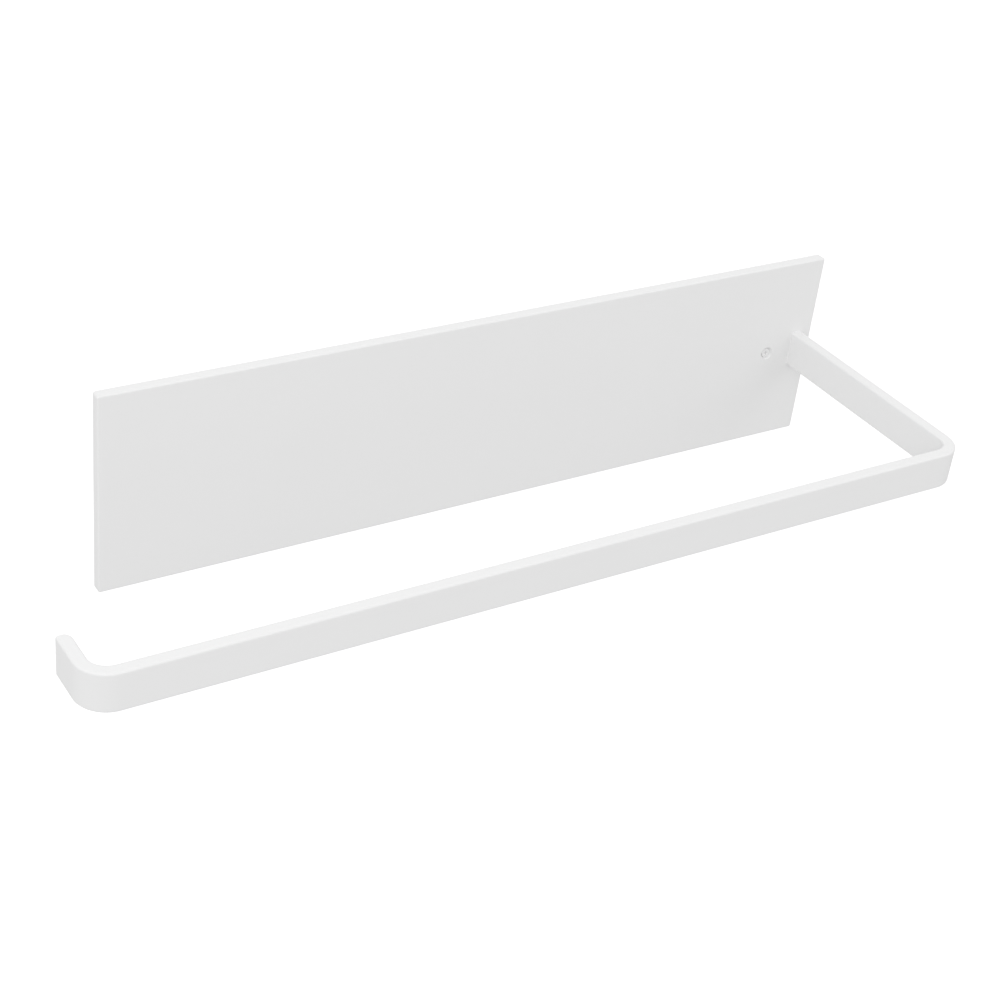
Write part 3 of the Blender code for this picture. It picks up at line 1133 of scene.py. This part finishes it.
# Round the holder, each by its turn from straight in front, positive towards the arm's end, and its height
# above the level.
SOFT_LIGHTS = (
    SoftLight("left_light", "left_power", math.radians(-60), math.radians(35)),
    SoftLight("front_light", "front_power", math.radians(-30), math.radians(35)),
    SoftLight("high_light", "high_power", math.radians(-60), math.radians(60)),
    SoftLight("right_light", "right_power", math.radians(60), math.radians(35)),
)


def add_soft_light(stage, light, target):
    """A round soft light that faces the holder and isn't seen by the camera."""
    lamp = bpy.data.lights.new(light.name, "AREA")
    lamp.shape = "DISK"
    lamp.size = stage.light_size
    lamp.energy = getattr(stage, light.power)
    placed = bpy.data.objects.new(light.name, lamp)
    level = math.cos(light.height)
    towards = Vector((math.sin(light.turn) * level, -math.cos(light.turn) * level, math.sin(light.height)))
    placed.location = target + towards * stage.light_distance
    placed.rotation_euler = towards.to_track_quat("Z", "Y").to_euler()
    placed.visible_camera = False
    bpy.context.scene.collection.objects.link(placed)


def add_camera(stage):
    """The camera, to the left of the holder and above it."""
    data = bpy.data.cameras.new("product_camera")
    data.sensor_width = SENSOR_WIDTH
    data.lens = stage.lens
    data.clip_start = 0.01
    camera = bpy.data.objects.new("product_camera", data)
    turn = Matrix.Rotation(stage.camera_turn, 4, "Z")
    drop = Matrix.Rotation(math.pi / 2 - stage.camera_drop, 4, "X")
    roll = Matrix.Rotation(stage.camera_roll, 4, "Z")
    place = mount_place("wall_face") + Vector(stage.camera_place)
    camera.matrix_world = Matrix.Translation(place) @ turn @ drop @ roll
    bpy.context.scene.collection.objects.link(camera)
    return camera


class TOWEL_HOLDER_OT_stage(bpy.types.Operator):
    """Build the floor, the light and the camera"""

    bl_idname = "towel_holder.stage"
    bl_label = "Stage"

    def execute(self, context):
        stage = context.scene.holder_stage
        low, high = packed_box
        floor = bpy.data.objects.new("studio_floor", floor_mesh(low.z - stage.floor_drop))
        floor.data.materials.append(floor_finish(stage))
        context.scene.collection.objects.link(floor)
        floor.visible_diffuse = False
        floor.visible_glossy = False
        context.scene.world = build_world(stage)
        for light in SOFT_LIGHTS:
            add_soft_light(stage, light, (low + high) / 2)
        context.scene.camera = add_camera(stage)
        context.scene.view_settings.view_transform = "Standard"
        return {"FINISHED"}


# ---------------------------------------------------------------- sidebar and registration


class TOWEL_HOLDER_PT_sidebar(bpy.types.Panel):
    """The pieces of the towel holder, with their sizes and colours"""

    bl_idname = "TOWEL_HOLDER_PT_sidebar"
    bl_label = "Paper Towel Holder"
    bl_space_type = "VIEW_3D"
    bl_region_type = "UI"
    bl_category = "Towel Holder"

    def draw(self, context):
        for operator, groups in PANEL_ROWS:
            box = self.layout.box()
            box.operator(operator.bl_idname)
            for group in groups:
                settings = getattr(context.scene, group)
                for name in settings.bl_rna.properties.keys():
                    if name not in ("rna_type", "name"):
                        box.prop(settings, name)


PANEL_ROWS = (
    (TOWEL_HOLDER_OT_face_plate, ("holder_coat", "holder_plate")),
    (TOWEL_HOLDER_OT_towel_arm, ("holder_arm",)),
    (TOWEL_HOLDER_OT_foot_screw, ("holder_screw",)),
    (TOWEL_HOLDER_OT_anti_slip_sheet, ("holder_inner",)),
    (TOWEL_HOLDER_OT_inner_pieces, ()),
    (TOWEL_HOLDER_OT_stage, ("holder_stage",)),
)

SETTINGS = {
    "holder_coat": CoatSettings,
    "holder_plate": PlateSettings,
    "holder_arm": ArmSettings,
    "holder_screw": ScrewSettings,
    "holder_inner": InnerSettings,
    "holder_stage": StageSettings,
}

CLASSES = (*SETTINGS.values(), *(operator for operator, _ in PANEL_ROWS), TOWEL_HOLDER_PT_sidebar)


def register():
    """Adds the classes, and the settings to every scene."""
    for made in CLASSES:
        bpy.utils.register_class(made)
    for name, group in SETTINGS.items():
        setattr(bpy.types.Scene, name, bpy.props.PointerProperty(type=group))


def unregister():
    """Takes the settings and the classes away again."""
    for name in SETTINGS:
        delattr(bpy.types.Scene, name)
    for made in reversed(CLASSES):
        bpy.utils.unregister_class(made)


def main():
    """Builds every piece and the stage."""
    register()
    bpy.ops.towel_holder.stage()
    bpy.ops.towel_holder.face_plate()
    bpy.ops.towel_holder.towel_arm()
    bpy.ops.towel_holder.foot_screw()
    bpy.ops.towel_holder.anti_slip_sheet()
    bpy.ops.towel_holder.inner_pieces()


if __name__ == "__main__":
    main()
